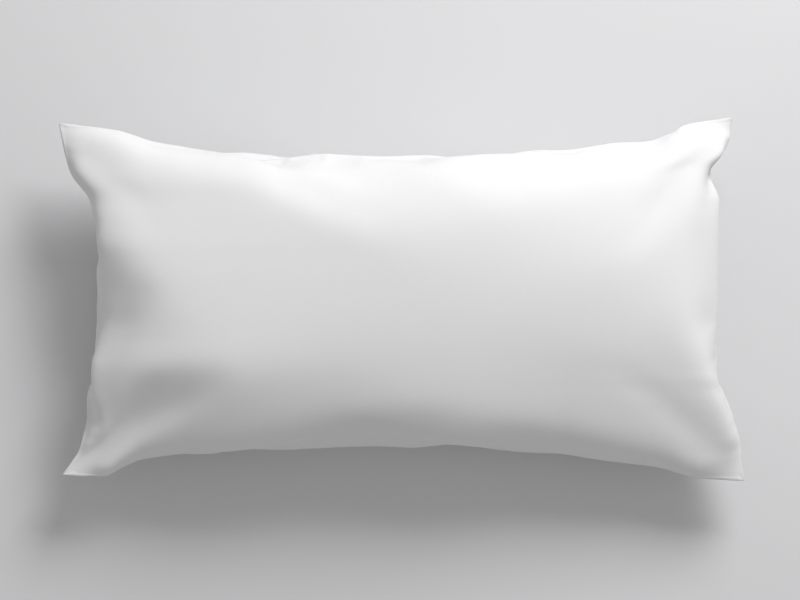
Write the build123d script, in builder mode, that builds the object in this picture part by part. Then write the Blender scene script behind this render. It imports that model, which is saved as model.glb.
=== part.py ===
from build123d import *
import os

# A king-size bed pillow: a plain knife-edge cover, closed by a coil zip in its right-hand
# end seam, over a sewn insert of ticking and fibre fill. It lies on its back panel.
# X runs along the pillow, Y across it, Z up. The origin is the middle of its footprint.

# Corner tips of the filled cover, and the waist of each side between them
left_far_tip = Vector(-453, 232)
right_far_tip = Vector(437, 240)
right_near_tip = Vector(453, -240)
left_near_tip = Vector(-450, -232)
left_waist = Vector(-404, 10)
far_waist = Vector(0, 190)
near_waist = Vector(20, -195)
right_waist_x = 415
right_straight_y = (-93, 171)

# Heights of the filled pillow, and how far its seam is drawn in
seam_z = 92
crown_rise = 98
belly_drop = 92
seam_groove = 7

# How full the sides stand: levels are shares of the way from the seam to the top
levels = (0, 0.12, 0.3, 0.5, 0.7, 0.85)
crown_level = 0.96
belly_level = 0.93
groove_level = 0.3
end_fullness = 2.6
side_fullness = 3.5
tip_taper = 0.55

# Cover cloth, its turned-in seam allowance and its sewing thread
cover_wall = 0.9
cover_allowance = 10
cover_stitch_inset = 8
thread = 0.5
overlock_wrap = 0.6

# Insert: how much smaller than the cover it is, and its own cloth and sewing
insert_gap = 13
insert_drop = 2
insert_wall = 0.8
insert_allowance = 8
insert_stitch_inset = 6
fill_gap = 9
fill_drop = 1.2
closing_x = (60, 240)
closing_half = 0.4

# Blank labels sewn into the seams
care_label_x = (80, 110)
care_label_y = -187.6
care_label_hang = 32
label_thick = 0.25
insert_label_x = (-60, -20)
insert_label_y = (100, 200)
insert_label_z = (-30, -2)

# Coil zip: its straight run in the right-hand end seam, tapes and coil halves
zip_y = (-85, 150)
tape_x = 406.35
tape_thick = 0.5
tape_edge = 0.9
tape_width = 15.5
tape_tail = 4
coil_gap = 0.45
coil_tooth = 1.35
coil_root = 1.2
coil_thick = 2.4
coil_pitch = 2.4
stop_length = 2
slot_half = 4.5
slot_end = 3
bar_tack = 1.6
tape_row = 8

# Slider and its puller, parked at the closed end of the zip
play = 0.3
slider_length = 11
slider_half = 4.2
slider_round = 1.5
plate_thick = 1.0
flange_thick = 0.9
post_half = 0.22
post_length = 3.5
crown_half_length = 3.5
crown_half_width = 0.9
crown_thick = 1.1
window_half_length = 2.3
window_height = 1.7
pin_radius = 0.55
arm_inner = 1.2
arm_outer = 2.6
yoke_start = 4.4
puller_length = 28
puller_half = 3.2
puller_hole = 1.6

# Places that follow from the sizes above
coil_x = tape_x + tape_thick
coil_top_x = coil_x + coil_thick
coil_edge = coil_gap + coil_tooth + coil_root
coil_y = (zip_y[0] + stop_length, zip_y[1] - stop_length)
tape_y = (zip_y[0] - tape_tail, zip_y[1] + tape_tail)
slot_y = (zip_y[0] - slot_end, zip_y[1] + slot_end)
slider_y = coil_y[0] + play + slider_length / 2
top_plate_x = coil_top_x + play
bottom_plate_x = tape_x - play - plate_thick
crown_x = top_plate_x + plate_thick
pin_x = crown_x + window_height / 2
far_off = 500

os.makedirs("parts", exist_ok=True)


# ---- Shapes shared by the cover, the insert and the fill ----


def outline(level, height, inset=0):
    """The plan of the pillow at a level, as a face at a height; an inset draws it smaller."""
    end = (1 - level**end_fullness) ** 0.5
    side = (1 - level**side_fullness) ** 0.5
    tip = (1 - level) ** tip_taper
    pull = seam_groove * max(0, 1 - level / groove_level) ** 2

    def place(x, y):
        return (x * (1 - inset / right_waist_x), y * (1 - inset / far_waist.Y))

    tips = [
        place(corner.X * tip, corner.Y * tip)
        for corner in (left_far_tip, right_far_tip, right_near_tip, left_near_tip)
    ]
    left = place(left_waist.X * end + pull, left_waist.Y)
    far = place(far_waist.X, far_waist.Y * side - pull)
    near = place(near_waist.X, near_waist.Y * side + pull)
    right_x = right_waist_x * end - pull
    straight_low, straight_high = [place(right_x, y * tip) for y in right_straight_y]
    with BuildSketch(Plane.XY.offset(height)) as plan:
        with BuildLine():
            Spline(tips[0], far, tips[1])
            Spline(tips[1], straight_high, tangents=((-0.3, -1), (0, -1)))
            Line(straight_high, straight_low)
            Spline(straight_low, tips[2], tangents=((0, -1), (0.4, -1)))
            Spline(tips[2], near, tips[3])
            Spline(tips[3], left, tips[0])
        make_face()
    return plan.sketch


def half(side, inset=0, drop=0):
    """The filled shape above the seam (side 1) or below it (side -1), drawn smaller by an
    inset all round and by a drop in height."""
    height = (crown_rise if side > 0 else belly_drop) - drop
    last = crown_level if side > 0 else belly_level
    sections = [outline(n, seam_z + side * height * n / last, inset) for n in (*levels, last)]
    with BuildPart() as shape:
        loft([section.face() for section in sections])
    return shape.part


def slab(low, high, inset):
    """A flat slab with the plan of the seam; low and high are measured from the seam."""
    with BuildPart() as flat:
        extrude(outline(0, seam_z + low, inset), amount=high - low)
    return flat.part


def block(x, y, z, mode=Mode.ADD):
    """A box between two corners, with z measured from the seam."""
    middle = (sum(x) / 2, sum(y) / 2, seam_z + sum(z) / 2)
    with Locations(middle):
        Box(x[1] - x[0], y[1] - y[0], z[1] - z[0], mode=mode)


def span(side, low, high):
    """A height range above the seam (side 1), or its mirror image below it (side -1)."""
    return tuple(sorted((side * low, side * high)))


def ring(low, high, outer, inner):
    """A thin band that follows the seam, between two insets."""
    with BuildPart() as band:
        add(slab(low, high, outer))
        add(slab(low, high, inner), mode=Mode.SUBTRACT)
    return band.part


def panel(side, inset, drop, wall, allowance):
    """A sewn cloth panel: the skin of one half, with its seam allowance turned in flat."""
    allowance_top = Plane.XY.offset(seam_z + side * wall)
    with BuildPart() as space:
        add(half(side, inset + wall, drop + wall))
        split(bisect_by=allowance_top, keep=Keep.TOP if side > 0 else Keep.BOTTOM)
    with BuildPart() as cloth:
        add(half(side, inset, drop))
        add(space.part, mode=Mode.SUBTRACT)
        add(slab(*span(side, 0, wall), inset + allowance), mode=Mode.SUBTRACT)
    return cloth.part


# ---- Cover: two panels sewn round, with a slot left for the zip ----

for side, face in ((1, "front"), (-1, "back")):
    with BuildPart() as cover_panel:
        add(panel(side, 0, 0, cover_wall, cover_allowance))
        block((tape_x - slot_half, far_off), slot_y, span(side, 0, slot_half), Mode.SUBTRACT)
        block(
            (right_waist_x / 2, coil_x + thread),
            (tape_y[0] - play, tape_y[1] + play),
            span(side, 0, cover_wall),
            Mode.SUBTRACT,
        )
    cover_panel.part.label = f"cover_{face}_panel"
    export_step(cover_panel.part, f"parts/cover_{face}_panel.step")

# Lockstitch through both allowances, left open along the zip
with BuildPart() as cover_seam_stitching:
    for side in (1, -1):
        low, high = span(side, cover_wall, cover_wall + thread)
        add(ring(low, high, cover_stitch_inset, cover_stitch_inset + thread))
    block((right_waist_x / 2, far_off), tape_y, (-slot_half, slot_half), Mode.SUBTRACT)
cover_seam_stitching.part.label = "cover_seam_stitching"
export_step(cover_seam_stitching.part, "parts/cover_seam_stitching.step")

# Overlocking that binds the raw edges of the allowances together
with BuildPart() as cover_overlocking:
    add(ring(-cover_wall, cover_wall, cover_allowance, cover_allowance + overlock_wrap))
    block((right_waist_x / 2, far_off), tape_y, (-slot_half, slot_half), Mode.SUBTRACT)
cover_overlocking.part.label = "cover_overlocking"
export_step(cover_overlocking.part, "parts/cover_overlocking.step")

# Blank care label, hanging inside the cover from the near allowance
with BuildPart() as care_label:
    block(
        care_label_x,
        (care_label_y, care_label_y + label_thick),
        (-care_label_hang, -cover_wall),
    )
care_label.part.label = "care_label"
export_step(care_label.part, "parts/care_label.step")


# ---- Zip: tapes, coil halves, stops and the sewing that holds them ----


def coil_comb(side):
    """One half of the coil: a root strip with a tooth for every turn."""
    root_z = coil_gap + coil_tooth
    turns = int((coil_y[1] - coil_y[0]) / coil_pitch)
    points = [(coil_y[0], coil_edge), (coil_y[0], root_z)]
    for turn in range(turns):
        start = coil_y[0] + coil_pitch * (turn + 0.25)
        end = start + coil_pitch / 2
        points += [(start, root_z), (start, coil_gap), (end, coil_gap), (end, root_z)]
    points += [(coil_y[1], root_z), (coil_y[1], coil_edge)]
    return [(y, seam_z + side * z) for y, z in points]


for side, face in ((1, "front"), (-1, "back")):
    with BuildPart() as zip_tape:
        edge = span(side, tape_edge, tape_edge + tape_width)
        block((tape_x, coil_x), tape_y, edge)
    zip_tape.part.label = f"zip_tape_{face}"
    export_step(zip_tape.part, f"parts/zip_tape_{face}.step")

    with BuildPart() as zip_coil:
        with BuildSketch(Plane.YZ.offset(coil_x)):
            with BuildLine():
                Polyline(*coil_comb(side), close=True)
            make_face()
        extrude(amount=coil_thick)
    zip_coil.part.label = f"zip_coil_{face}"
    export_step(zip_coil.part, f"parts/zip_coil_{face}.step")

    # The row that sews the panel to the tape, on the tape's inner face
    with BuildPart() as zip_stitching:
        row = span(side, tape_row, tape_row + thread)
        block((tape_x - thread, tape_x), slot_y, row)
    zip_stitching.part.label = f"zip_stitching_{face}"
    export_step(zip_stitching.part, f"parts/zip_stitching_{face}.step")

with BuildPart() as zip_top_stops:
    for side in (1, -1):
        block((coil_x, coil_top_x), (zip_y[0], coil_y[0]), span(side, coil_gap, coil_edge))
zip_top_stops.part.label = "zip_top_stops"
export_step(zip_top_stops.part, "parts/zip_top_stops.step")

with BuildPart() as zip_bottom_stop:
    block((coil_x, coil_top_x), (coil_y[1], zip_y[1]), (-coil_edge, coil_edge))
zip_bottom_stop.part.label = "zip_bottom_stop"
export_step(zip_bottom_stop.part, "parts/zip_bottom_stop.step")

# Bar tacks across both ends of the slot, from lip to lip
with BuildPart() as zip_bar_tacks:
    for start in (slot_y[0], slot_y[1] - bar_tack):
        across = (-slot_half, slot_half)
        block((coil_x + thread, coil_x + 2 * thread), (start, start + bar_tack), across)
zip_bar_tacks.part.label = "zip_bar_tacks"
export_step(zip_bar_tacks.part, "parts/zip_bar_tacks.step")


# ---- Slider and puller ----

# Two plates joined by a post that runs between the coil halves, with a crown on top
with BuildPart() as zip_slider:
    for plate_x in (bottom_plate_x, top_plate_x):
        with BuildSketch(Plane.YZ.offset(plate_x)):
            with Locations((slider_y, seam_z)):
                RectangleRounded(slider_length, 2 * slider_half, slider_round)
        extrude(amount=plate_thick)
    front_edge = slider_y - slider_length / 2
    post_x = (bottom_plate_x + plate_thick / 2, top_plate_x + plate_thick / 2)
    block(post_x, (front_edge, front_edge + post_length), (-post_half, post_half))
    flange_reach = slider_length / 2 - slider_round
    for side in (1, -1):
        block(
            (coil_x + play, top_plate_x + plate_thick / 2),
            (slider_y - flange_reach, slider_y + flange_reach),
            span(side, slider_half - flange_thick, slider_half),
        )
    with BuildSketch(Plane.XY.offset(seam_z - crown_half_width)) as arch:
        crown_height = window_height + crown_thick
        with Locations((crown_x + crown_height / 2, slider_y)):
            Rectangle(crown_height, 2 * crown_half_length)
        fillet(arch.vertices().group_by(Axis.X)[-1], radius=slider_round)
        with Locations((crown_x + window_height / 2, slider_y)):
            Rectangle(window_height, 2 * window_half_length, mode=Mode.SUBTRACT)
    extrude(amount=2 * crown_half_width)
zip_slider.part.label = "zip_slider"
export_step(zip_slider.part, "parts/zip_slider.step")

# A flat tab on two arms, hung on a pin through the crown's window
with BuildPart() as zip_puller:
    with BuildSketch(Plane.YZ.offset(pin_x - pin_radius)):
        tab_length = puller_length - yoke_start
        with Locations((slider_y + yoke_start + tab_length / 2, seam_z)):
            RectangleRounded(tab_length, 2 * puller_half, slider_round)
        for side in (1, -1):
            arm_z = side * (arm_inner + arm_outer) / 2
            arm_length = yoke_start + slider_round + pin_radius
            with Locations((slider_y - pin_radius + arm_length / 2, seam_z + arm_z)):
                Rectangle(arm_length, arm_outer - arm_inner)
        with Locations((slider_y + puller_length - 2 * puller_hole, seam_z)):
            Circle(puller_hole, mode=Mode.SUBTRACT)
    extrude(amount=2 * pin_radius)
    with Locations((pin_x, slider_y, seam_z)):
        Cylinder(pin_radius, 2 * arm_inner + thread)
zip_puller.part.label = "zip_puller"
export_step(zip_puller.part, "parts/zip_puller.step")


# ---- Insert: two ticking panels sewn round a fibre fill ----

for side, face in ((1, "top"), (-1, "bottom")):
    with BuildPart() as insert_panel:
        add(panel(side, insert_gap, insert_drop, insert_wall, insert_allowance))
    insert_panel.part.label = f"insert_{face}_panel"
    export_step(insert_panel.part, f"parts/insert_{face}_panel.step")

with BuildPart() as insert_seam_stitching:
    for side in (1, -1):
        low, high = span(side, insert_wall, insert_wall + thread)
        row_inset = insert_gap + insert_stitch_inset
        add(ring(low, high, row_inset, row_inset + thread))
insert_seam_stitching.part.label = "insert_seam_stitching"
export_step(insert_seam_stitching.part, "parts/insert_seam_stitching.step")

# Edge stitching that closes the gap through which the insert was filled
with BuildPart() as insert_closing_stitches:
    add(ring(-closing_half, closing_half, insert_gap - thread, insert_gap))
    block(closing_x, insert_label_y, (-closing_half, closing_half), Mode.INTERSECT)
    for side in (1, -1):
        add(half(side, insert_gap, insert_drop), mode=Mode.SUBTRACT)
insert_closing_stitches.part.label = "insert_closing_stitches"
export_step(insert_closing_stitches.part, "parts/insert_closing_stitches.step")

# Blank label that lies against the insert's far side, below its seam
with BuildPart() as insert_label:
    add(half(-1, insert_gap - label_thick, insert_drop))
    add(half(-1, insert_gap, insert_drop), mode=Mode.SUBTRACT)
    block(insert_label_x, insert_label_y, insert_label_z, Mode.INTERSECT)
insert_label.part.label = "insert_label"
export_step(insert_label.part, "parts/insert_label.step")

with BuildPart() as insert_fill:
    for side in (1, -1):
        add(half(side, insert_gap + fill_gap, insert_drop + fill_drop))
insert_fill.part.label = "insert_fill"
export_step(insert_fill.part, "parts/insert_fill.step")
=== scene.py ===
import bmesh
import bpy
import numpy as np
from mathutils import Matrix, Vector


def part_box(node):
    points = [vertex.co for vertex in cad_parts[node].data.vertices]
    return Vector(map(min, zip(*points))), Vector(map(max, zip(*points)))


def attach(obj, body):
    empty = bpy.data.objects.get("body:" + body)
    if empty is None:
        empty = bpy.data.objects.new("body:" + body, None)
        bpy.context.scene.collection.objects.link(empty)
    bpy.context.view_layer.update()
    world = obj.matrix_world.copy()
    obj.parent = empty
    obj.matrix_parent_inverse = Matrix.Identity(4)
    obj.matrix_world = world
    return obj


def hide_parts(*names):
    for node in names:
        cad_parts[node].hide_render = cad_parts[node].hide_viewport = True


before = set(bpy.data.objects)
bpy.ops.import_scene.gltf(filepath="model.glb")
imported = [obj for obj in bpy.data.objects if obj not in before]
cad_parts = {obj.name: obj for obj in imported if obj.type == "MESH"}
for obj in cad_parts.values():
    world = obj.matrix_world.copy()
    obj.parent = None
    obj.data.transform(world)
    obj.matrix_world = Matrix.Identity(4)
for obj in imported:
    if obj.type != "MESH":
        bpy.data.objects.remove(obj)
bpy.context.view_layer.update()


# ---- Filling the cover ----
# Two equal rectangles of cloth are sewn round and turned, then pumped up by the insert.
# The cloth can't stretch, so the sides draw in between the corners. The corners stay as
# flat empty ears, and the zip keeps its stretch of the right-hand end straight.

MM = 0.001
FLAT_LENGTH = 0.914
FLAT_WIDTH = 0.508
SEAM_HEIGHT = 0.092
ZIP_LINE_X = 0.408
ZIP_RUN = (-0.093, 0.174)

CELL = 0.008
FILL_FRAMES = 70
FILL_PRESSURE = 2.6
FILLED_MASS = 1.6
START_LIFT = 12 * MM
EMPTY_EAR = 0.06
STIFF_EAR = 0.034
EAR_TIPS = {
    (0, -1): (-0.453, 0.232, 0.108),
    (-1, -1): (0.437, 0.240, 0.095),
    (-1, 0): (0.453, -0.240, 0.078),
    (0, 0): (-0.450, -0.232, 0.086),
}


def smooth(t):
    """Eases t from 0 to 1 with no slope at either end, three t squared less two t cubed."""
    t = np.clip(t, 0, 1)
    return t * t * (3 - 2 * t)


def quads(index):
    """The faces of a grid of vertex numbers, one quad for each cell."""
    corners = [index[:-1, :-1], index[1:, :-1], index[1:, 1:], index[:-1, 1:]]
    return np.stack(corners, -1).reshape(-1, 4)


def new_mesh(name, points, faces):
    """A smooth-shaded mesh object at the origin, from arrays of points and faces."""
    mesh = bpy.data.meshes.new(name)
    faces = faces.tolist() if isinstance(faces, np.ndarray) else faces
    mesh.from_pydata(np.asarray(points, float).tolist(), [], faces)
    mesh.shade_smooth()
    piece = bpy.data.objects.new(name, mesh)
    bpy.context.scene.collection.objects.link(piece)
    return piece


def read_points(mesh):
    """A mesh's vertices as an array of points."""
    points = np.empty(len(mesh.vertices) * 3, np.float32)
    mesh.vertices.foreach_get("co", points)
    return points.reshape(-1, 3).astype(float)


def fill_cover():
    """Sews two flat grids along their border and pumps them up by cloth simulation.
    Returns the front and the back as grids of points, with the border in common."""
    columns, rows = round(FLAT_LENGTH / CELL), round(FLAT_WIDTH / CELL)
    u, v = np.meshgrid(
        np.linspace(-1, 1, columns + 1), np.linspace(-1, 1, rows + 1), indexing="ij"
    )
    x, y = u * FLAT_LENGTH / 2, v * FLAT_WIDTH / 2
    lift = START_LIFT * np.sqrt((1 - u**2) * (1 - v**2))
    front = np.arange(u.size).reshape(u.shape)
    back = front.copy()
    inner = (slice(1, -1), slice(1, -1))
    back[inner] = u.size + np.arange((columns - 1) * (rows - 1)).reshape(columns - 1, -1)
    flat = np.zeros((back.max() + 1, 3))
    flat[front] = np.stack([x, y, SEAM_HEIGHT + lift], -1)
    flat[back[inner]] = np.stack([x, y, SEAM_HEIGHT - lift], -1)[inner]
    pouch = new_mesh("pouch", flat, np.concatenate([quads(front), quads(back)[:, ::-1]]))

    ear = np.hypot(FLAT_LENGTH / 2 - abs(flat[:, 0]), FLAT_WIDTH / 2 - abs(flat[:, 1]))
    held = smooth(1 - ear / STIFF_EAR)
    goal = flat.copy()
    for (i, j), tip in EAR_TIPS.items():
        near = (np.sign(flat[:, 0]) == np.sign(tip[0])) & (held > 0)
        near &= np.sign(flat[:, 1]) == np.sign(tip[1])
        goal[near] += np.array(tip) - flat[front[i, j]]
    zip_line = front[-1, (y[-1] > ZIP_RUN[0]) & (y[-1] < ZIP_RUN[1])]
    goal[zip_line, 0] = ZIP_LINE_X
    held[zip_line] = 1
    for name, weights in (("filled", smooth(ear / EMPTY_EAR)), ("held", held)):
        group = pouch.vertex_groups.new(name=name)
        for number in np.flatnonzero(weights > 0):
            group.add([int(number)], float(weights[number]), "REPLACE")
    pouch.shape_key_add(name="flat")
    key = pouch.shape_key_add(name="held in place")
    key.data.foreach_set("co", goal.astype(np.float32).ravel())
    key.value = 0
    key.keyframe_insert("value", frame=1)
    key.value = 1
    key.keyframe_insert("value", frame=FILL_FRAMES // 2)

    table = new_mesh("table", [(-1, -1, 0), (1, -1, 0), (1, 1, 0), (-1, 1, 0)], [(0, 1, 2, 3)])
    table.modifiers.new("surface", "COLLISION")
    table.collision.thickness_outer = 0.001
    table.collision.cloth_friction = 20
    cloth = pouch.modifiers.new("cloth", "CLOTH")
    cloth.point_cache.frame_end = FILL_FRAMES
    settings = cloth.settings
    settings.quality = 6
    settings.mass = FILLED_MASS / len(flat)
    settings.tension_stiffness = settings.compression_stiffness = 30
    settings.shear_stiffness = 8
    settings.bending_stiffness = 0.5
    settings.tension_damping = settings.compression_damping = settings.shear_damping = 5
    settings.bending_damping = 0.5
    settings.air_damping = 2
    settings.use_pressure = True
    settings.uniform_pressure_force = FILL_PRESSURE
    settings.vertex_group_pressure = "filled"
    settings.vertex_group_mass = "held"
    cloth.collision_settings.distance_min = 0.001
    scene = bpy.context.scene
    scene.frame_start, scene.frame_end = 1, FILL_FRAMES
    for step in range(1, FILL_FRAMES + 1):
        scene.frame_set(step)
    settled = pouch.evaluated_get(bpy.context.evaluated_depsgraph_get())
    points = read_points(settled.data)
    for helper in (pouch, table):
        bpy.data.objects.remove(helper)
    scene.frame_set(1)
    return points[front], points[back]


front_grid, back_grid = fill_cover()

# Outline that the filled cover is eased to, as (x, y) points along each free side
FAR_SIDE = np.array([(-380, 220), (-347, 214), (-268, 200), (-162, 192), (0, 190),
                     (100, 193), (208, 199), (314, 212), (380, 226)]) * MM
NEAR_SIDE = np.array([(-400, -226), (-294, -207), (-180, -200), (-89, -196), (36, -195),
                      (120, -199), (208, -206), (328, -223), (400, -236)]) * MM
LEFT_END = np.array([(-426, -165), (-416, -120), (-406, -54), (-404, 0), (-404, 60),
                     (-407, 100), (-417, 140), (-428, 170)]) * MM
BELOW_ZIP = np.array([(452, -226), (448, -188), (434, -142), (423, -118), (409, -98)]) * MM
ABOVE_ZIP = np.array([(409, 174), (416, 186), (426, 197), (433, 211), (437, 230)]) * MM
OUTLINE_MARKS = 41
OUTLINE_FADE = 0.05
SEAM_FADE = 0.015
REST_HEIGHT = 0.2 * MM

PRESS_FADE = 0.07
PRESS_REACH = 0.026
EAR_PRESS = 0.055


def outline_shift(points, along, across, target):
    """How far to move points across the pillow so that its outline on one side meets a
    target: the gap at the outline, eased to nothing at the middle of the pillow and at
    both ends of the target."""
    sign = np.sign(target[:, across].mean())
    edges = np.linspace(target[0, along], target[-1, along], OUTLINE_MARKS)
    middles = (edges[1:] + edges[:-1]) / 2
    slot = np.digitize(points[:, along], edges) - 1
    reach = np.array([(points[slot == n, across] * sign).max() for n in range(len(middles))])
    reach = np.convolve(np.pad(reach, 3, mode="edge"), np.ones(7) / 7, mode="valid")
    gap = np.interp(middles, target[:, along], target[:, across] * sign) - reach
    fade = smooth((middles - edges[0]) / OUTLINE_FADE)
    fade *= smooth((edges[-1] - middles) / OUTLINE_FADE)
    share = np.interp(points[:, along], middles, reach)
    amount = np.interp(points[:, along], middles, gap * fade, left=0, right=0)
    return sign * amount * smooth(points[:, across] * sign / share)


def even_out(grid):
    """Softens small creases as a pressed cloth would: each point moves part of the way to
    the middle of its neighbours, over and over. The share fades towards the seam, except
    in the corner ears, where the seam itself is evened out as well."""
    i, j = np.indices(grid.shape[:2])
    end = np.minimum(i, grid.shape[0] - 1 - i) * CELL
    side = np.minimum(j, grid.shape[1] - 1 - j) * CELL
    ear = 0.9 * smooth(1.4 - np.hypot(end, side) / EAR_PRESS)
    share = np.maximum(0.6 * smooth(np.minimum(end, side) / PRESS_FADE), ear)[..., None]
    for _ in range(round((PRESS_REACH / CELL) ** 2)):
        middle = grid.copy()
        middle[1:-1, 1:-1] = (
            grid[2:, 1:-1] + grid[:-2, 1:-1] + grid[1:-1, 2:] + grid[1:-1, :-2]
        ) / 4
        for edge in (0, -1):
            middle[1:-1, edge] = (grid[2:, edge] + grid[:-2, edge]) / 2
            middle[edge, 1:-1] = (grid[edge, 2:] + grid[edge, :-2]) / 2
        grid += (middle - grid) * share


def seam_shift(points, seam, target):
    """How far to move points in x so that the right-hand seam meets a target beside the
    zip: the seam's gap, at most 15 mm, eased off in the same way but within 15 mm."""
    y = points[:, 1]
    order = np.argsort(seam[:, 1])
    seam_x = np.interp(y, seam[order, 1], seam[order, 0])
    gap = np.interp(y, target[:, 1], target[:, 0]) - seam_x
    gap = np.clip(gap, -SEAM_FADE, SEAM_FADE)
    low, high = target[[0, -1], 1]
    fade = smooth((y - low) / SEAM_FADE) * smooth((high - y) / SEAM_FADE)
    return gap * fade * smooth(points[:, 0] / seam_x)


def ease_to_outline(front, back):
    """Evens both panels out, eases them to the outline, twice over, and brings the lowest
    cloth down to its rest height, with what is above it in step up to the seam."""
    for grid in (front, back):
        even_out(grid)
    for _ in range(2):
        points = np.concatenate([front.reshape(-1, 3), back.reshape(-1, 3)])
        sides = outline_shift(points, 0, 1, FAR_SIDE) + outline_shift(points, 0, 1, NEAR_SIDE)
        ends = outline_shift(points, 1, 0, LEFT_END)
        for target in (BELOW_ZIP, ABOVE_ZIP):
            ends += seam_shift(points, front[-1], target)
        points = points + np.stack([ends, sides, np.zeros(len(points))], -1)
        front = points[: front.size // 3].reshape(front.shape)
        back = points[front.size // 3 :].reshape(back.shape)
    for grid in (front, back):
        sink = back[..., 2].min() - REST_HEIGHT
        grid[..., 2] -= sink * np.clip(1 - grid[..., 2] / SEAM_HEIGHT, 0, 1)
    return front, back


front_grid, back_grid = ease_to_outline(front_grid, back_grid)


# ---- Cover panels ----
# Plain-woven white cloth, cut 934 by 528 mm. The 10 mm allowances are turned in, so both
# panels meet in a sharp seam with small puckers. They part in two folded lips at the zip.

EDGE_STEPS = np.array([0, 0.7, 1.4, 2.2, 3.2, 4.6, 6.4, 8.6, 11.4, 14.8]) * MM
TOPSTITCH_STEP = 7
CLOTH_STEP = 3.6 * MM
CLOTH_THICK = 0.5 * MM
ALLOWANCE = 10 * MM
TURN_IN = 0.6 * MM
DEEP_ROWS = 22
PUCKER = 1.1 * MM
PUCKER_RISE = 4 * MM
PUCKER_FADE = 17 * MM
PUCKER_CORNER = 0.05
ROLL = 0.5 * MM
ROLL_AT = 2.4 * MM
ROLL_WIDE = 1.6 * MM
LIP_RUN = (-0.088, 0.153)
LIP_RAMP = 6.5 * MM
LIP_LIFT = 4.6 * MM
LIP_DECAY = 10 * MM
LIP_BACK_X = 0.407
LIP_CLEAR = 1.1 * MM
LINING_STEPS = (1, 5, 8)
LINING_CLEAR = (0.25 * MM, 0.3 * MM, 0.35 * MM)
FRONT_FOLD = 14.5 * MM
BACK_FOLD = 5 * MM
LIP_FOLD_AT = 13 * MM
FOLD_RAMP = 40 * MM
CLOTH_WHITE = (0.81, 0.81, 0.808)
CLOTH_SHADE = (0.74, 0.74, 0.742)


def spline_rows(count, at):
    """Weights of a uniform cubic B-spline over count grid lines, one row for each place.
    A mirrored line past each end makes the curve finish on the first and last line."""
    first = np.clip(np.floor(at).astype(int), 0, count - 2)
    f = at - first
    weights = [(1 - f) ** 3, 3 * f**3 - 6 * f**2 + 4, -3 * f**3 + 3 * f**2 + 3 * f + 1, f**3]
    rows = np.zeros((len(at), count + 2))
    for offset, weight in enumerate(weights):
        rows[np.arange(len(at)), first + offset] += weight / 6
    body = rows[:, 1:-1].copy()
    body[:, 0] += 2 * rows[:, 0]
    body[:, 1] -= rows[:, 0]
    body[:, -1] += 2 * rows[:, -1]
    body[:, -2] -= rows[:, -1]
    return body


def sample(grid, x, y):
    """The grid's smooth surface at places given in the flat cloth, in metres."""
    across = spline_rows(grid.shape[0], (x / FLAT_LENGTH + 0.5) * (grid.shape[0] - 1))
    along = spline_rows(grid.shape[1], (y / FLAT_WIDTH + 0.5) * (grid.shape[1] - 1))
    return np.einsum("ai,ijk,bj->abk", across, grid, along)


def spaced(length):
    """Places across a length of cloth, close together by its edges and even between."""
    inner = length - 2 * EDGE_STEPS[-1]
    count = round(inner / CLOTH_STEP)
    middle = np.linspace(-inner / 2, inner / 2, count + 1)[1:-1]
    edge = length / 2 - EDGE_STEPS
    return np.concatenate([-edge, middle, edge[::-1]])


def unit(vectors):
    """Vectors divided by their own lengths."""
    return vectors / np.linalg.norm(vectors, axis=-1, keepdims=True)


def normals(grid):
    """Unit normals of a grid surface: the cross product of its two directions."""
    return unit(np.cross(np.gradient(grid, axis=0), np.gradient(grid, axis=1)))


def ripple(place, seed):
    """Uneven ripples between -1 and 1 along a seam: three sines of 17, 26 and 43 mm."""
    waves = np.random.default_rng(seed).uniform(0, 2 * np.pi, 3)
    lengths = np.array([17, 26, 43]) * MM
    return sum(np.sin(2 * np.pi * place / n + p) for n, p in zip(lengths, waves)) / 3


def lip_share(place):
    """How far the lips are open along the right-hand end: 1 along the zip, eased to 0
    past each bar tack."""
    opening = smooth((place - LIP_RUN[0]) / LIP_RAMP + 1)
    return opening * smooth((LIP_RUN[1] - place) / LIP_RAMP + 1)


def panel_surface(grid, side):
    """A panel's outer surface on the fine grid, with puckers that fade from the seam, a
    rolled edge beside it, and along the zip a lip that is lifted and folds out over it by
    t times e to the 1 - t. Returns the flat places, the points and the normals."""
    x, y = spaced(FLAT_LENGTH), spaced(FLAT_WIDTH)
    surface = sample(grid, x, y)
    flat_x, flat_y = np.meshgrid(x, y, indexing="ij")
    to_end, to_side = FLAT_LENGTH / 2 - abs(flat_x), FLAT_WIDTH / 2 - abs(flat_y)
    to_zip = FLAT_LENGTH / 2 - flat_x
    lift = lip_share(flat_y) * np.exp(-((to_zip / LIP_DECAY) ** 2))
    surface[..., 2] += side * LIP_LIFT * lift
    fold = to_zip / LIP_FOLD_AT * np.exp(1 - to_zip / LIP_FOLD_AT)
    run = smooth((flat_y - LIP_RUN[0]) / FOLD_RAMP + 1)
    run *= smooth((LIP_RUN[1] - flat_y) / FOLD_RAMP + 0.4)
    surface[..., 0] += (FRONT_FOLD if side > 0 else BACK_FOLD) * run * fold
    outward = normals(surface) * side
    relief = np.zeros_like(flat_x)
    nearest, farthest = np.minimum(to_end, to_side), np.maximum(to_end, to_side)
    for gap, place, seed in (
        (to_end, flat_y + 0.3 * to_end, 3),
        (to_side, flat_x + 0.3 * to_side, 4),
    ):
        fade = (1 - np.exp(-gap / PUCKER_RISE)) * np.exp(-gap / PUCKER_FADE)
        fade *= smooth(farthest / PUCKER_CORNER)
        strength = 0.6 + 0.4 * np.sin(place / 0.06 + seed)
        relief += PUCKER * fade * strength * ripple(place, seed + (side > 0))
        roll = np.exp(-(((gap - ROLL_AT) / ROLL_WIDE) ** 2))
        relief += ROLL * roll * smooth(nearest / (2 * MM))
    relief *= 1 - 0.6 * lift
    return flat_x, flat_y, surface + outward * relief[..., None], outward


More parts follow.
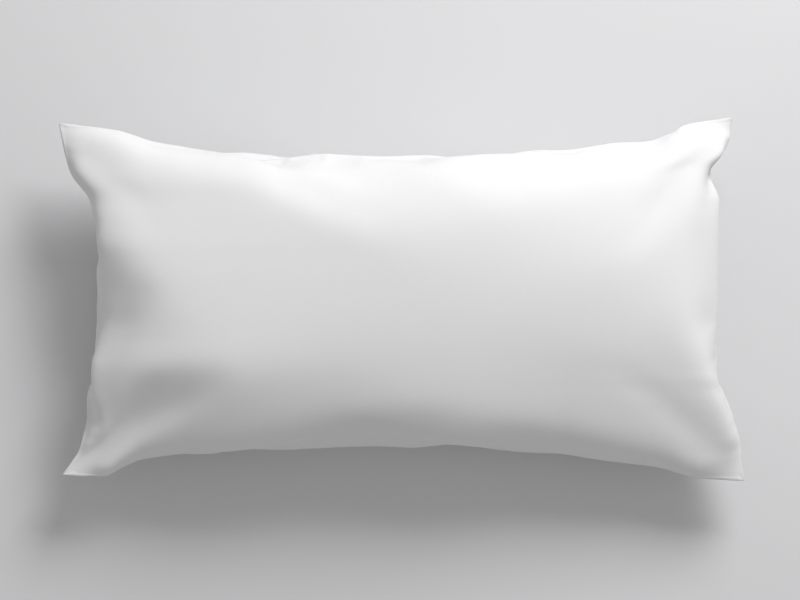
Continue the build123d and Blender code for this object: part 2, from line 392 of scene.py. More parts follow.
def border(index):
    """The border of a grid of vertex numbers or points, once round."""
    return np.concatenate([index[:-1, 0], index[-1, :-1], index[:0:-1, -1], index[0, :0:-1]])


places_x, places_y, front_surface, front_out = panel_surface(front_grid, 1)
_, _, back_surface, back_out = panel_surface(back_grid, -1)
flat_border = border(np.stack([places_x, places_y], -1))
border_lip = lip_share(flat_border[:, 1]) * (flat_border[:, 0] > FLAT_LENGTH / 2 - MM)
core = (front_surface + back_surface) / 2
column, row = np.indices(places_x.shape)
column = np.clip(column, DEEP_ROWS, places_x.shape[0] - 1 - DEEP_ROWS)
row = np.clip(row, DEEP_ROWS, places_x.shape[1] - 1 - DEEP_ROWS)
seam_line = border(core)
seam_inward = unit(border(core[column, row]) - seam_line)
from_corner = FLAT_LENGTH / 2 - abs(flat_border[:, 0]) + FLAT_WIDTH / 2 - abs(flat_border[:, 1])
seam_width = np.clip(0.7 * from_corner, 1.5 * MM, ALLOWANCE)


def cut_map(piece, places):
    """Gives a piece a UV map of each point's place in its flat cloth, in metres."""
    layer = piece.data.uv_layers.new(name="cut")
    corner = np.empty(len(piece.data.loops), np.int32)
    piece.data.loops.foreach_get("vertex_index", corner)
    layer.data.foreach_set("uv", places[corner].astype(np.float32).ravel())


def cloth_panel(name, surface, outward, side):
    """One panel with its allowance turned in. Past the border, rows of points run inwards
    at the seam plane, and along the zip they run back behind the panel, in front of the
    tape."""
    index = np.arange(places_x.size).reshape(places_x.shape)
    ring = border(index)
    points = [surface.reshape(-1, 3)]
    uv = [np.stack([places_x.ravel(), places_y.ravel()], -1)]
    faces = [quads(index)]
    lining = surface - outward * LIP_CLEAR
    past = np.sign(flat_border) * (abs(flat_border) > [FLAT_LENGTH / 2 - MM, FLAT_WIDTH / 2 - MM])
    widths = (np.full(len(ring), TURN_IN), 0.4 * seam_width, seam_width)
    for step, (width, clear, line) in enumerate(zip(widths, LINING_CLEAR, LINING_STEPS)):
        inside = seam_line + seam_inward * width[:, None] + [0, 0, side * clear]
        behind = border(np.broadcast_to(lining[-1 - line], surface.shape)).copy()
        behind[:, 0] = np.minimum(behind[:, 0], LIP_BACK_X)
        points.append(inside + (behind - inside) * border_lip[:, None])
        uv.append(flat_border + past * width[:, None])
        fresh = places_x.size + step * len(ring) + np.arange(len(ring))
        faces.append(np.stack([np.roll(ring, -1), ring, fresh, np.roll(fresh, -1)], -1))
        ring = fresh
    faces = np.concatenate(faces)
    piece = new_mesh(name, np.concatenate(points), faces if side > 0 else faces[:, ::-1])
    cut_map(piece, np.concatenate(uv))
    wall = piece.modifiers.new("cloth thickness", "SOLIDIFY")
    wall.thickness = CLOTH_THICK
    wall.offset = -1
    return piece


class Socket:
    """An output socket in a material. Arithmetic on it adds Math nodes, and node() adds
    any other node from its type, its settings, and the values or links of its inputs."""

    def __init__(self, tree, socket=None):
        self.tree, self.socket = tree, socket

    def node(self, kind, settings, inputs, out=0):
        made = self.tree.nodes.new(kind)
        for name, setting in settings.items():
            setattr(made, name, setting)
        for name, value in inputs.items():
            if isinstance(value, Socket):
                self.tree.links.new(value.socket, made.inputs[name])
            else:
                made.inputs[name].default_value = value
        return Socket(self.tree, made.outputs[out])

    def maths(self, operation, *values):
        return self.node("ShaderNodeMath", {"operation": operation}, dict(enumerate(values)))

    def __add__(self, other):
        return self.maths("ADD", self, other)

    def __sub__(self, other):
        return self.maths("SUBTRACT", self, other)

    def __rsub__(self, other):
        return self.maths("SUBTRACT", other, self)

    def __mul__(self, other):
        return self.maths("MULTIPLY", self, other)

    __radd__, __rmul__ = __add__, __mul__

    def sine(self):
        return self.maths("SINE", self)

    def scaled(self, scale):
        """A vector multiplied by another, part by part."""
        return self.node("ShaderNodeVectorMath", {"operation": "MULTIPLY"}, {0: self, 1: scale})

    def noise(self, scale, detail=2.0):
        """Smooth noise from 0 to 1 over a vector that is first scaled part by part."""
        inputs = {"Vector": self.scaled(scale), "Scale": 1.0, "Detail": detail}
        return self.node("ShaderNodeTexNoise", {}, inputs)

    def between(self, start, end):
        """A colour between two others, with this value as the share."""
        inputs = {0: self, 6: (*start, 1), 7: (*end, 1)}
        return self.node("ShaderNodeMix", {"data_type": "RGBA"}, inputs, out=2)


def material(name, constants):
    """A new material with constants on its own shader. Returns it and its empty socket."""
    made = bpy.data.materials.new(name)
    made.use_nodes = True
    shader = made.node_tree.nodes["Principled BSDF"]
    for socket, value in constants.items():
        shader.inputs[socket].default_value = value
    return made, Socket(made.node_tree)


def dress(made, start, colour, roughness, height):
    """Links a colour, a roughness and a height in metres to a material's shader."""
    shader = made.node_tree.nodes["Principled BSDF"]
    bump = start.node("ShaderNodeBump", {}, {"Height": height, "Distance": 1.0})
    for socket, value in (("Base Color", colour), ("Roughness", roughness), ("Normal", bump)):
        made.node_tree.links.new(value.socket, shader.inputs[socket])


def woven(name, white, shade, pitch, slub, sheen):
    """Plain-woven cloth on its cut map: crowns of warp and weft as a product of two sines,
    threads of uneven thickness both ways, and a slight change of white over the piece.
    The colour is lighter on the crowns and darker in the hollows between threads, painted
    shade, and lighter on the thick slubs, partly their own tone and partly painted highlight."""
    finish = {"Sheen Weight": sheen, "Sheen Roughness": 0.4, "Specular IOR Level": 0.25}
    made, start = material(name, finish)
    cut = start.node("ShaderNodeUVMap", {"uv_map": "cut"}, {})
    split = start.node("ShaderNodeSeparateXYZ", {}, {0: cut})
    across = split.node("ShaderNodeSeparateXYZ", {}, {0: cut}, out=1)
    wander = cut.noise((90, 90, 1), 1.0)
    weft = cut.noise((60, 900, 1))
    warp = cut.noise((900, 45, 1))
    turns = np.pi / pitch
    crown = (split * turns + wander * 4).sine() * (across * turns + wander * 4).sine()
    fuzz = cut.noise((2600, 2600, 1), 1.0)
    height = crown * (0.04 * pitch) + weft * slub + warp * (0.6 * slub) + fuzz * (0.03 * pitch)
    patch = cut.noise((14, 14, 1))
    # Colour share: slubs lighter, partly painted highlight; crowns lighter and hollows darker,
    # painted shade; patches are real tone.
    share = weft * 0.4 + warp * 0.25 + patch * 0.2 + crown * 0.12 - 0.05
    dress(made, start, share.between(shade, white), weft * 0.1 + patch * 0.08 + 0.74, height)
    return made


cover_cloth = woven("cover cloth", CLOTH_WHITE, CLOTH_SHADE, 0.7 * MM, 0.05 * MM, 0.2)
front_cloth = cloth_panel("front_cloth", front_surface, front_out, 1)
back_cloth = cloth_panel("back_cloth", back_surface, back_out, -1)
for piece, node in ((front_cloth, "cover_front_panel"), (back_cloth, "cover_back_panel")):
    piece.data.materials.append(cover_cloth)
    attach(piece, "pillow")
    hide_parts(node)


# ---- Cover threads ----
# White spun polyester. A lockstitch row lies in the seam crease, an overlock thread wraps
# the raw edges inside, and both stop at the zip.

STITCH_LENGTH = 2.1 * MM
STITCH_PITCH = 2.8 * MM
STITCH_RADIUS = 0.17 * MM
SEAM_CREASE = 0.35 * MM
OVERLOCK_PITCH = 2.6 * MM
OVERLOCK_RADIUS = 0.13 * MM
OVERLOCK_STEPS = 9
OVERLOCK_REACH = 1.5 * MM
OVERLOCK_FLAT = 0.75
OVERLOCK_INSET = 1.0 * MM
THREAD_WHITE = (0.88, 0.88, 0.87)


def tube(path, spoke, radius, sides):
    """Points and faces of a closed tube along a path: at each place a ring of sides points
    about the path, turned to a spoke vector, and a point in the middle of each end."""
    along = unit(np.gradient(path, axis=0))
    across = unit(np.cross(along, spoke))
    angle = np.linspace(0, 2 * np.pi, sides, endpoint=False)[:, None, None]
    rings = path + radius * (np.cos(angle) * across + np.sin(angle) * np.cross(across, along))
    rings = rings.swapaxes(0, 1)
    ring = np.arange(rings[..., 0].size).reshape(len(path), sides)
    faces = quads(np.concatenate([ring, ring[:, :1]], 1))[:, ::-1].tolist()
    for end, cap, turn in ((ring[0], ring.size, 1), (ring[-1], ring.size + 1, -1)):
        faces += np.stack([np.full(sides, cap), end, np.roll(end, -1)], -1)[:, ::turn].tolist()
    return np.concatenate([rings.reshape(-1, 3), path[[0, -1]]]), faces


def stitches(centres, along, spoke, length, radius, sides=6):
    """Points and faces of a row of short rounded threads, each a capsule of four rings
    whose radius and place along it follow a half ellipse at both ends."""
    reach = np.array([-0.5, -0.44, -0.3, 0.3, 0.44, 0.5]) * length
    size = np.array([0, 0.65, 1, 1, 0.65, 0]) * radius
    along, spoke = unit(along), unit(spoke)
    across = unit(np.cross(along, spoke))
    up = np.cross(across, along)
    angle = np.linspace(0, 2 * np.pi, sides, endpoint=False)[:, None]
    spin = np.cos(angle) * across[:, None, None] + np.sin(angle) * up[:, None, None]
    rings = centres[:, None, None] + along[:, None, None] * reach[1:-1, None, None]
    rings = rings + spin * size[1:-1, None, None]
    poles = centres[:, None] + along[:, None] * reach[[0, -1], None]
    each = 4 * sides + 2
    points = np.concatenate([rings.reshape(len(centres), -1, 3), poles], 1)
    ring = np.arange(4 * sides).reshape(4, sides)
    body = quads(np.concatenate([ring, ring[:, :1]], 1))[:, ::-1]
    low = np.stack([np.full(sides, each - 2), ring[0], np.roll(ring[0], -1)], -1)
    high = np.stack([np.full(sides, each - 1), np.roll(ring[-1], -1), ring[-1]], -1)
    shift = (np.arange(len(centres)) * each)[:, None, None]
    faces = (body + shift).reshape(-1, 4).tolist()
    for fan in (low, high):
        faces += (fan + shift).reshape(-1, 3).tolist()
    return points.reshape(-1, 3), faces


def spread(path, pitch, extras=()):
    """Places every pitch along a path by its length, and other arrays at those places."""
    run = np.concatenate([[0], np.linalg.norm(np.diff(path, axis=0), axis=1).cumsum()])
    at = np.arange(pitch / 2, run[-1], pitch)
    return [np.stack([np.interp(at, run, a) for a in array.T], -1) for array in (path, *extras)]


def thread_like(name, colour, pitch):
    """Twisted thread on Object coordinates: fine slanting plies and stray fibres. The plies are
    painted lighter on their crowns and darker in the grooves between them, painted shade.
    """
    made, start = material(name, {"Sheen Weight": 0.15, "Specular IOR Level": 0.3})
    place = start.node("ShaderNodeTexCoord", {}, {}, out="Object")
    ply = place.node("ShaderNodeTexWave", {"wave_profile": "SIN", "bands_direction": "DIAGONAL"},
                     {"Vector": place, "Scale": 0.3 / pitch, "Distortion": 1.5}, out="Fac")
    fuzz = place.noise((5000, 5000, 5000))
    painted_ply_shade = tuple(0.86 * part for part in colour)
    # Painted shade: the colour darkens into the ply grooves, with the same values as the bump.
    share = ply * 0.6 + fuzz * 0.4
    dress(made, start, share.between(painted_ply_shade, colour), fuzz * 0.2 + 0.6, share * (0.1 * pitch))
    return made


def add_piece(name, shape, finish, node, body="pillow"):
    """A mesh piece from its points and faces, with its material and its frame calls."""
    piece = new_mesh(name, *shape)
    piece.data.materials.append(finish)
    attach(piece, body)
    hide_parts(node)
    return piece


sewing_thread = thread_like("sewing thread", THREAD_WHITE, 0.3 * MM)
parted = np.flatnonzero(border_lip > 0.02)
seam_turn = -parted[-1] - 2
seam_count = len(seam_line) - len(parted) - 2
seam_run = np.roll(seam_line, seam_turn, axis=0)[:seam_count]
seam_run_in = np.roll(seam_inward, seam_turn, axis=0)[:seam_count]
seam_run_width = np.roll(seam_width, seam_turn)[:seam_count, None]
places, inward = spread(seam_run + seam_run_in * SEAM_CREASE, STITCH_PITCH, (seam_run_in,))
seam_stitches = stitches(places, np.gradient(places, axis=0), inward, STITCH_LENGTH, STITCH_RADIUS)
add_piece("seam_stitches", seam_stitches, sewing_thread, "cover_seam_stitching")

raw_edge = seam_run + seam_run_in * (seam_run_width - OVERLOCK_INSET)
edge_run, edge_in = spread(raw_edge, OVERLOCK_PITCH / OVERLOCK_STEPS, (seam_run_in,))
around = np.arange(len(edge_run))[:, None] * 2 * np.pi / OVERLOCK_STEPS
wrap = edge_in * np.cos(around) + np.array([0, 0, OVERLOCK_FLAT]) * np.sin(around)
overlock = tube(edge_run + wrap * OVERLOCK_REACH, wrap, OVERLOCK_RADIUS, 4)
add_piece("overlock_thread", overlock, sewing_thread, "cover_overlocking")


# ---- Zip tapes and coils ----
# Two woven polyester tapes, each with a nylon coil sewn along its edge. The coils mesh
# down the middle. A topstitched row through each lip holds its tape.

COIL_PITCH = 1.3 * MM
COIL_RADIUS = 0.3 * MM
COIL_HEAD = 0.25 * MM
COIL_STEPS = 14
TAPE_GRID = (163, 14)
TAPE_BOW = {1: 1 * MM, -1: 6 * MM}
TAPE_THICK = 0.5 * MM
LIP_STITCH = 2.6 * MM
LIP_STITCH_PITCH = 3.2 * MM
TAPE_WHITE = (0.83, 0.83, 0.82)
NYLON_WHITE = (0.86, 0.86, 0.85)


def tape_surface(node, side):
    """A tape as a grid over its length and width. Past the coil it bows inwards, by up to a
    millimetre that comes and goes along it and by its own bow behind the drawn-in cloth."""
    low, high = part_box(node)
    y, z = np.meshgrid(
        np.linspace(low[1], high[1], TAPE_GRID[0]),
        np.linspace(low[2], high[2], TAPE_GRID[1]), indexing="ij"
    )
    outer = smooth((abs(z - SEAM_HEIGHT) - 6 * MM) / (9 * MM))
    bow = outer * (0.5 * MM * (1 + np.sin(y / (19 * MM) + side)) + TAPE_BOW[side])
    return np.stack([np.full_like(y, high[0]) - bow, y, z], -1)


def coil(node, side):
    """A coil as one flattened helix: it turns in x and z and runs on in y, its heads just
    past the middle of the zip, half a pitch from the other coil's."""
    low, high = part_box(node)
    turns = (high[1] - low[1]) / COIL_PITCH - 1
    angle = np.arange(0, 2 * np.pi * turns, 2 * np.pi / COIL_STEPS)
    outer = max(abs(low[2] - SEAM_HEIGHT), abs(high[2] - SEAM_HEIGHT)) - COIL_RADIUS
    centre_x, centre_z = (low[0] + high[0]) / 2, (outer - COIL_HEAD) / 2
    half_x, half_z = (high[0] - low[0]) / 2 - COIL_RADIUS, (outer + COIL_HEAD) / 2
    x = centre_x + half_x * np.sin(angle)
    z = SEAM_HEIGHT + side * (centre_z + half_z * np.cos(angle))
    y = low[1] + COIL_PITCH * (angle / (2 * np.pi) + 0.25 + 0.25 * side)
    spoke = np.stack([np.sin(angle) / half_x, 0 * angle, side * np.cos(angle) / half_z], -1)
    return tube(np.stack([x, y, z], -1), spoke, COIL_RADIUS, 6)


tape_cloth = woven("zip tape weave", TAPE_WHITE, tuple(0.9 * c for c in TAPE_WHITE),
                   0.45 * MM, 0.02 * MM, 0.1)
nylon, start = material("zip nylon", {"Specular IOR Level": 0.5, "Coat Weight": 0.15})
place = start.node("ShaderNodeTexCoord", {}, {}, out="Object")
grain = place.noise((1500, 300, 1500))
dress(nylon, start, grain.between(tuple(0.88 * c for c in NYLON_WHITE), NYLON_WHITE),
      grain * 0.2 + 0.28, grain * (0.02 * MM))

for word, side, surface, out in (("front", 1, front_surface, front_out),
                                 ("back", -1, back_surface, back_out)):
    tape_grid = tape_surface(f"zip_tape_{word}", side)
    index = np.arange(tape_grid[..., 0].size).reshape(tape_grid.shape[:2])
    shape = (tape_grid.reshape(-1, 3), quads(index))
    tape = add_piece(f"tape_{word}", shape, tape_cloth, f"zip_tape_{word}")
    cut_map(tape, tape_grid.reshape(-1, 3)[:, 1:])
    wall = tape.modifiers.new("tape thickness", "SOLIDIFY")
    wall.thickness = TAPE_THICK
    wall.offset = -1
    low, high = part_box(f"zip_tape_{word}")
    add_piece(f"coil_{word}", coil(f"zip_coil_{word}", side), nylon, f"zip_coil_{word}")
    line, lean = surface[-1 - TOPSTITCH_STEP], out[-1 - TOPSTITCH_STEP]
    sewn = (line[:, 1] > LIP_RUN[0]) & (line[:, 1] < LIP_RUN[1])
    places, lean = spread(line[sewn], LIP_STITCH_PITCH, (lean[sewn],))
    shape = stitches(places, np.gradient(places, axis=0), lean, LIP_STITCH, 1.2 * STITCH_RADIUS)
    add_piece(f"lip_stitches_{word}", shape, sewing_thread, f"zip_stitching_{word}")


# ---- Bar tacks and stops ----
# A bar tack of close zigzag stitches ties the lips together past each end of the coils.
# Small steel stops end the coils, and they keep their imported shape.

TACK_PASSES = 9
TACK_STEPS = 8
TACK_LONG = 1.6 * MM
TACK_HALF = 4.4 * MM
TACK_BOW = 0.9 * MM
TACK_RADIUS = 0.15 * MM
STEEL = (0.62, 0.62, 0.60)
STEEL_WORN = (0.75, 0.75, 0.74)


def bar_tack(start_y, end_y):
    """One thread to and fro across the zip: a triangle wave in z against y, bowed outwards
    in x between its ends."""
    low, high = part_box("zip_bar_tacks")
    at = np.linspace(0, TACK_PASSES, TACK_PASSES * TACK_STEPS + 1)
    swing = 2 * abs((at % 2) - 1) - 1
    z = SEAM_HEIGHT + swing * TACK_HALF
    x = low[0] + TACK_BOW * np.sqrt(1.1 - swing**2)
    y = start_y + (end_y - start_y) * at / TACK_PASSES
    path = np.stack([x, y, z], -1)
    return tube(path, np.tile([1.0, 0.02, 0.0], (len(at), 1)), TACK_RADIUS, 6)


def joined(shapes):
    """Several shapes' points and faces as one."""
    points, faces, count = [], [], 0
    for shape_points, shape_faces in shapes:
        points.append(shape_points)
        faces += [[number + count for number in face] for face in shape_faces]
        count += len(shape_points)
    return np.concatenate(points), faces


low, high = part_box("zip_bar_tacks")
tacks = joined([bar_tack(low[1], low[1] + TACK_LONG), bar_tack(high[1] - TACK_LONG, high[1])])


def metal(name, colour, worn, constants):
    """Cast metal on Object coordinates: a worn colour in patches, fine scratches along the
    piece and a slightly uneven surface."""
    made, start = material(name, constants)
    place = start.node("ShaderNodeTexCoord", {}, {}, out="Object")
    patch = place.noise((260, 260, 260))
    scratch = place.noise((4000, 300, 4000))
    share = patch * 2.4 - 1.0 + scratch * 0.3
    dress(made, start, share.between(colour, worn), scratch * 0.18 + patch * 0.15 + 0.18,
          scratch * (0.01 * MM))
    return made


add_piece("bar_tack_thread", tacks, sewing_thread, "zip_bar_tacks")
steel = metal("zip steel", STEEL, STEEL_WORN, {"Metallic": 1.0})
for node in ("zip_top_stops", "zip_bottom_stop"):
    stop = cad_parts[node]
    stop.data.materials.clear()
    stop.data.materials.append(steel)


# ---- Slider and puller ----
# Die-cast zinc under white enamel, which is worn thin in patches. Their shapes come from
# the imported nodes, with the sharp edges rounded over.

ENAMEL_WHITE = (0.84, 0.84, 0.83)
ENAMEL_WORN = (0.70, 0.70, 0.69)
EDGE_ROUND = 0.16 * MM
SAME_POINT = 0.002 * MM
FLAT_WITHIN = 0.02
SHARP_FROM = 0.6


def rounded_copy(name, node):
    """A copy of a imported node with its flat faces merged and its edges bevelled."""
    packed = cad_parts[node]
    points = read_points(packed.data)
    faces = [list(face.vertices) for face in packed.data.polygons]
    piece = new_mesh(name, points, faces)
    work = bmesh.new()
    work.from_mesh(piece.data)
    bmesh.ops.remove_doubles(work, verts=work.verts, dist=SAME_POINT)
    bmesh.ops.dissolve_limit(
        work, angle_limit=FLAT_WITHIN, verts=work.verts, edges=work.edges
    )
    work.to_mesh(piece.data)
    work.free()
    bevel = piece.modifiers.new("worn edges", "BEVEL")
    bevel.width = EDGE_ROUND
    bevel.segments = 2
    bevel.limit_method = "ANGLE"
    bevel.angle_limit = SHARP_FROM
    bevel.harden_normals = True
    return piece


enamel = metal("white enamel", ENAMEL_WHITE, ENAMEL_WORN, {"Coat Weight": 0.4})
for name, node, body in (("slider_body", "zip_slider", "slider"),
                         ("puller_tab", "zip_puller", "puller")):
    piece = rounded_copy(name, node)
    piece.data.materials.append(enamel)
    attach(piece, body)
    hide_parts(node)


# ---- Care label ----
# A blank satin ribbon, caught in the near seam. It hangs loose between cover and insert,
# and follows the inside of the back panel.

LABEL_FROM = 4 * MM
RIBBON_GRID = (13, 17)
RIBBON_WAVE = 0.2 * MM
RIBBON_THICK = 0.16 * MM
RIBBON_WHITE = (0.88, 0.87, 0.85)
RIBBON_SHADE = (0.78, 0.77, 0.75)


def ribbon(name, node, surface_at, width_run, drop, clear, side):
    """A label as a narrow grid that follows a surface at a small distance, with a faint
    wave of a fifth of a millimetre down its length."""
    x = np.linspace(*width_run, RIBBON_GRID[0])
    y = np.linspace(*drop, RIBBON_GRID[1])
    grid = surface_at(x, y)
    wave = RIBBON_WAVE * np.sin(y / (5 * MM))[None, :, None]
    grid = grid + side * normals(grid) * (clear + wave)
    index = np.arange(grid[..., 0].size).reshape(grid.shape[:2])
    piece = add_piece(name, (grid.reshape(-1, 3), quads(index)), satin, node)
    flat = np.stack(np.meshgrid(x, y, indexing="ij"), -1)
    cut_map(piece, flat.reshape(-1, 2))
    wall = piece.modifiers.new("ribbon thickness", "SOLIDIFY")
    wall.thickness = RIBBON_THICK


satin, start = material("label satin", {"Sheen Weight": 0.1, "Specular IOR Level": 0.6})
cut = start.node("ShaderNodeUVMap", {"uv_map": "cut"}, {})
float_run = cut.noise((400, 6000, 1))
cloud = cut.noise((60, 60, 1))
dress(satin, start, (float_run * 0.7 + cloud * 0.3).between(RIBBON_SHADE, RIBBON_WHITE),
      float_run * 0.15 + cloud * 0.1 + 0.3, float_run * (0.02 * MM))

low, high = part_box("care_label")
near_edge = -FLAT_WIDTH / 2
ribbon("care_ribbon", "care_label", lambda x, y: sample(back_grid, x, y), (low[0], high[0]),
       (near_edge + LABEL_FROM, near_edge + LABEL_FROM + high[2] - low[2]), 1.1 * MM, 1)


# ---- Insert ----
# A closed bag of downproof ticking, a little smaller than the cover, and shaped by it. Two
# panels are sewn round, and the gap it was filled through is whipped shut by hand.

INSERT_LENGTH = 0.868
INSERT_WIDTH = 0.462
INSERT_STEP = 5 * MM
INSERT_ROUND = 26 * MM
DEEP = 70 * MM
DRAW_IN = 0.65
TICKING_CLEAR = 2.8 * MM
TICKING_THICK = 0.35 * MM
TICKING_WHITE = (0.86, 0.855, 0.84)
SEAM_BEHIND = (0.41, 0.2)
WHIP_PITCH = 4 * MM
WHIP_LENGTH = 5 * MM
WHIP_SLANT = (0.5, 0.1, 0.85)
WHIP_LIFT = 0.3 * MM


def insert_place(length, width):
    """Evenly spread places over the flat insert, in metres both ways."""
    x = np.linspace(-length / 2, length / 2, round(length / INSERT_STEP) + 1)
    return x, np.linspace(-width / 2, width / 2, round(width / INSERT_STEP) + 1)


def inside_cover(x, y, side, clear, length, width):
    """The cover's own surface drawn in towards its middle: by a clearance, and by a
    quarter circle of rounding towards the insert's edge, where both sides meet. Near the
    edge its middle is drawn two thirds of the way to the middle of the cloth 70 mm in."""
    front, back = sample(front_grid, x, y), sample(back_grid, x, y)
    deep_x = np.clip(x, DEEP - FLAT_LENGTH / 2, FLAT_LENGTH / 2 - DEEP)
    deep_y = np.clip(y, DEEP - FLAT_WIDTH / 2, FLAT_WIDTH / 2 - DEEP)
    deep = (sample(front_grid, deep_x, deep_y) + sample(back_grid, deep_x, deep_y)) / 2
    middle, half = (front + back) / 2, (front - back) / 2
    middle = middle + DRAW_IN * (deep - middle)
    thick = np.linalg.norm(half, axis=-1)
    edge = np.minimum(length / 2 - abs(x)[:, None], width / 2 - abs(y)[None, :])
    rounding = np.sqrt(1 - (1 - np.clip(edge / INSERT_ROUND, 0, 1)) ** 2)
    share = np.clip(1 - clear / thick, 0.12, 1) * rounding
    return middle + side * half * share[..., None]


def ticking_surface(x, y, side):
    """One face of the insert, with small puckers that fade from its seam."""
    surface = inside_cover(x, y, side, TICKING_CLEAR, INSERT_LENGTH, INSERT_WIDTH)
    edge = np.minimum(INSERT_LENGTH / 2 - abs(x)[:, None], INSERT_WIDTH / 2 - abs(y)[None, :])
    place = x[:, None] + y[None, :]
    pucker = 0.6 * MM * (ripple(place, 11) - 1) * np.exp(-edge / (14 * MM)) * smooth(edge / 0.006)
    return surface + side * normals(surface) * pucker[..., None]


ticking = woven("ticking", TICKING_WHITE, tuple(0.93 * c for c in TICKING_WHITE),
                0.4 * MM, 0.02 * MM, 0.05)
insert_x, insert_y = insert_place(INSERT_LENGTH, INSERT_WIDTH)
index = np.arange(len(insert_x) * len(insert_y)).reshape(len(insert_x), len(insert_y))
flat = np.stack(np.meshgrid(insert_x, insert_y, indexing="ij"), -1).reshape(-1, 2)
for word, node, side in (("top", "insert_top_panel", 1), ("bottom", "insert_bottom_panel", -1)):
    surface = ticking_surface(insert_x, insert_y, side)
    faces = quads(index)[:, ::side]
    piece = add_piece(f"ticking_{word}", (surface.reshape(-1, 3), faces), ticking, node)
    cut_map(piece, flat)
    wall = piece.modifiers.new("ticking thickness", "SOLIDIFY")
    wall.thickness = TICKING_THICK
    wall.offset = -1

insert_edge = border(ticking_surface(insert_x, insert_y, 1))
insert_flat = border(flat.reshape(len(insert_x), len(insert_y), 2))
low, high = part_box("insert_closing_stitches")
is_closing = (insert_flat[:, 0] > low[0]) & (insert_flat[:, 0] < high[0])
is_closing &= insert_flat[:, 1] < 0
behind_x = np.clip(insert_x, -SEAM_BEHIND[0], SEAM_BEHIND[0])
behind_y = np.clip(insert_y, -SEAM_BEHIND[1], SEAM_BEHIND[1])
behind = border(inside_cover(behind_x, behind_y, 1, 0, INSERT_LENGTH, INSERT_WIDTH))
seam_out = unit(insert_edge - behind)
turn = -np.flatnonzero(is_closing)[-1]
sewn_edge = np.roll(insert_edge, turn, axis=0)[: len(insert_edge) - is_closing.sum() + 1]
sewn_out = np.roll(seam_out, turn, axis=0)[: len(sewn_edge)]
places, lean = spread(sewn_edge + sewn_out * 0.1 * MM, STITCH_PITCH, (sewn_out,))
shape = stitches(places, np.gradient(places, axis=0), lean, STITCH_LENGTH, STITCH_RADIUS)
add_piece("ticking_stitches", shape, sewing_thread, "insert_seam_stitching")
places, lean = spread(insert_edge[is_closing], WHIP_PITCH, (seam_out[is_closing],))
slant = np.tile(WHIP_SLANT, (len(places), 1))
shape = stitches(places + lean * WHIP_LIFT, slant, lean, WHIP_LENGTH, 1.3 * STITCH_RADIUS)
add_piece("closing_whipstitches", shape, sewing_thread, "insert_closing_stitches")

low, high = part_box("insert_label")
far_edge = INSERT_WIDTH / 2
ribbon("insert_ribbon", "insert_label", lambda x, y: ticking_surface(x, y, -1),
       (low[0], high[0]), (far_edge - LABEL_FROM - high[2] + low[2], far_edge - LABEL_FROM),
       0.5 * MM, -1)


# ---- Fibre fill ----
# Loose polyester fibre in one soft mass, carded into clumps. It packs the insert tight and
# has the insert's own shape, a little smaller.

FILL_LENGTH = 0.846
FILL_WIDTH = 0.440
FILL_CLEAR = 4.6 * MM
CLUMP = 1.4 * MM
FIBRE_WHITE = (0.92, 0.92, 0.91)
FIBRE_SHADE = (0.80, 0.80, 0.79)


def clumps(x, y, side):
    """Dents up to 1.2 clumps deep, from a product of two sines with waves of about 31, 19
    and 47 mm, and a finer sine with waves of about 11 and 13 mm."""
    u, v = x[:, None], y[None, :]
    rough = np.sin(u / (31 * MM / 6) + side) * np.sin(v / (19 * MM / 6) + u / (47 * MM / 6))
    fine = np.sin(u / (11 * MM / 6) - v / (13 * MM / 6) + side)
    return CLUMP * (0.4 * rough + 0.2 * fine - 0.6)


fill_x, fill_y = insert_place(FILL_LENGTH, FILL_WIDTH)
fill_sides = []
for side in (1, -1):
    surface = inside_cover(fill_x, fill_y, side, FILL_CLEAR, FILL_LENGTH, FILL_WIDTH)
    edge = np.minimum(FILL_LENGTH / 2 - abs(fill_x)[:, None], FILL_WIDTH / 2 - abs(fill_y))
    lump = clumps(fill_x, fill_y, side) * smooth(edge / 0.03)
    fill_sides.append(surface + side * normals(surface) * lump[..., None])
top = np.arange(len(fill_x) * len(fill_y)).reshape(len(fill_x), len(fill_y))
bottom = top.copy()
inner = (slice(1, -1), slice(1, -1))
bottom[inner] = top.size + np.arange(top[inner].size).reshape(top[inner].shape)
points = np.concatenate([fill_sides[0].reshape(-1, 3), fill_sides[1][inner].reshape(-1, 3)])
shape = (points, np.concatenate([quads(top), quads(bottom)[:, ::-1]]))
fibre, start = material("polyester fibre", {"Sheen Weight": 0.4, "Specular IOR Level": 0.2})
place = start.node("ShaderNodeTexCoord", {}, {}, out="Object")
strand = place.noise((1800, 420, 900), 4.0)
tuft = place.noise((70, 70, 70), 3.0)
# Painted shade: the colour darkens into the dips between strands and tufts, as the bump does.
dress(fibre, start, (strand * 0.6 + tuft * 0.4).between(FIBRE_SHADE, FIBRE_WHITE),
      strand * 0.1 + tuft * 0.05 + 0.82, strand * (0.5 * MM) + tuft * (1.0 * MM))
fill = add_piece("fibre_fill", shape, fibre, "insert_fill")


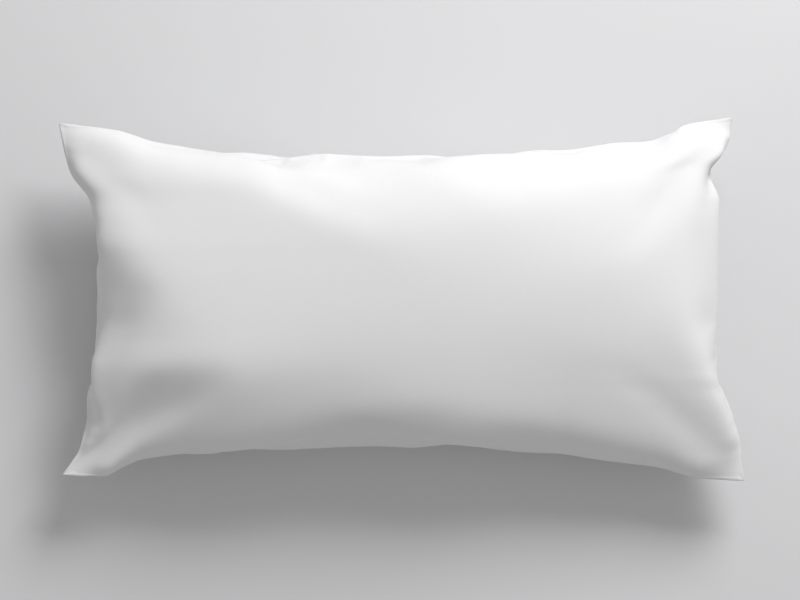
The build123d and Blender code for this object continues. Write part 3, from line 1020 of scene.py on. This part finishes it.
# ---- Floor, light and camera ----
# A plain pale floor under one large soft light from the far right and an even pale room.
# The camera looks straight down on the pillow from well above it.

FLOOR_REACH = 6
FLOOR_GREY = (0.70, 0.70, 0.71)
FLOOR_DARK = (0.68, 0.68, 0.69)
KEY_SIZE = 1.4
KEY_POWER = 92
KEY_PLACE = (1.15, 2.35, 2.1)
KEY_AIM = (0, 0, 0.1)
ROOM_STRENGTH = 0.42
CAMERA_HEIGHT = 7.0
VIEW_WIDTH = 1.0588
VIEW_CENTRE = (-0.0033, -0.0007)

floor_corners = np.array([(-1, -1, 0), (1, -1, 0), (1, 1, 0), (-1, 1, 0)]) * FLOOR_REACH
floor = new_mesh("floor", floor_corners, [(0, 1, 2, 3)])
paper, start = material("pale paper", {"Specular IOR Level": 0.2})
place = start.node("ShaderNodeTexCoord", {}, {}, out="Object")
cloud, grain = place.noise((2.5, 2.5, 2.5)), place.noise((900, 900, 900))
dress(paper, start, cloud.between(FLOOR_DARK, FLOOR_GREY), cloud * 0.05 + 0.9,
      grain * (0.02 * MM))
floor.data.materials.append(paper)

key_light = bpy.data.lights.new("key", "AREA")
key_light.shape = "SQUARE"
key_light.size = KEY_SIZE
key_light.energy = KEY_POWER
key = bpy.data.objects.new("key", key_light)
key.location = KEY_PLACE
turn = (Vector(KEY_AIM) - Vector(KEY_PLACE)).to_track_quat("-Z", "Y")
key.rotation_euler = turn.to_euler()
bpy.context.scene.collection.objects.link(key)

world = bpy.data.worlds.new("studio")
world.use_nodes = True
world.node_tree.nodes["Background"].inputs["Color"].default_value = (1, 1, 1, 1)
world.node_tree.nodes["Background"].inputs["Strength"].default_value = ROOM_STRENGTH
bpy.context.scene.world = world
bpy.context.scene.view_settings.view_transform = "Standard"

camera_data = bpy.data.cameras.new("camera")
camera_data.lens = camera_data.sensor_width * (CAMERA_HEIGHT - SEAM_HEIGHT) / VIEW_WIDTH
camera_data.clip_end = 50
camera = bpy.data.objects.new("camera", camera_data)
camera.location = (*VIEW_CENTRE, CAMERA_HEIGHT)
bpy.context.scene.collection.objects.link(camera)
bpy.context.scene.camera = camera
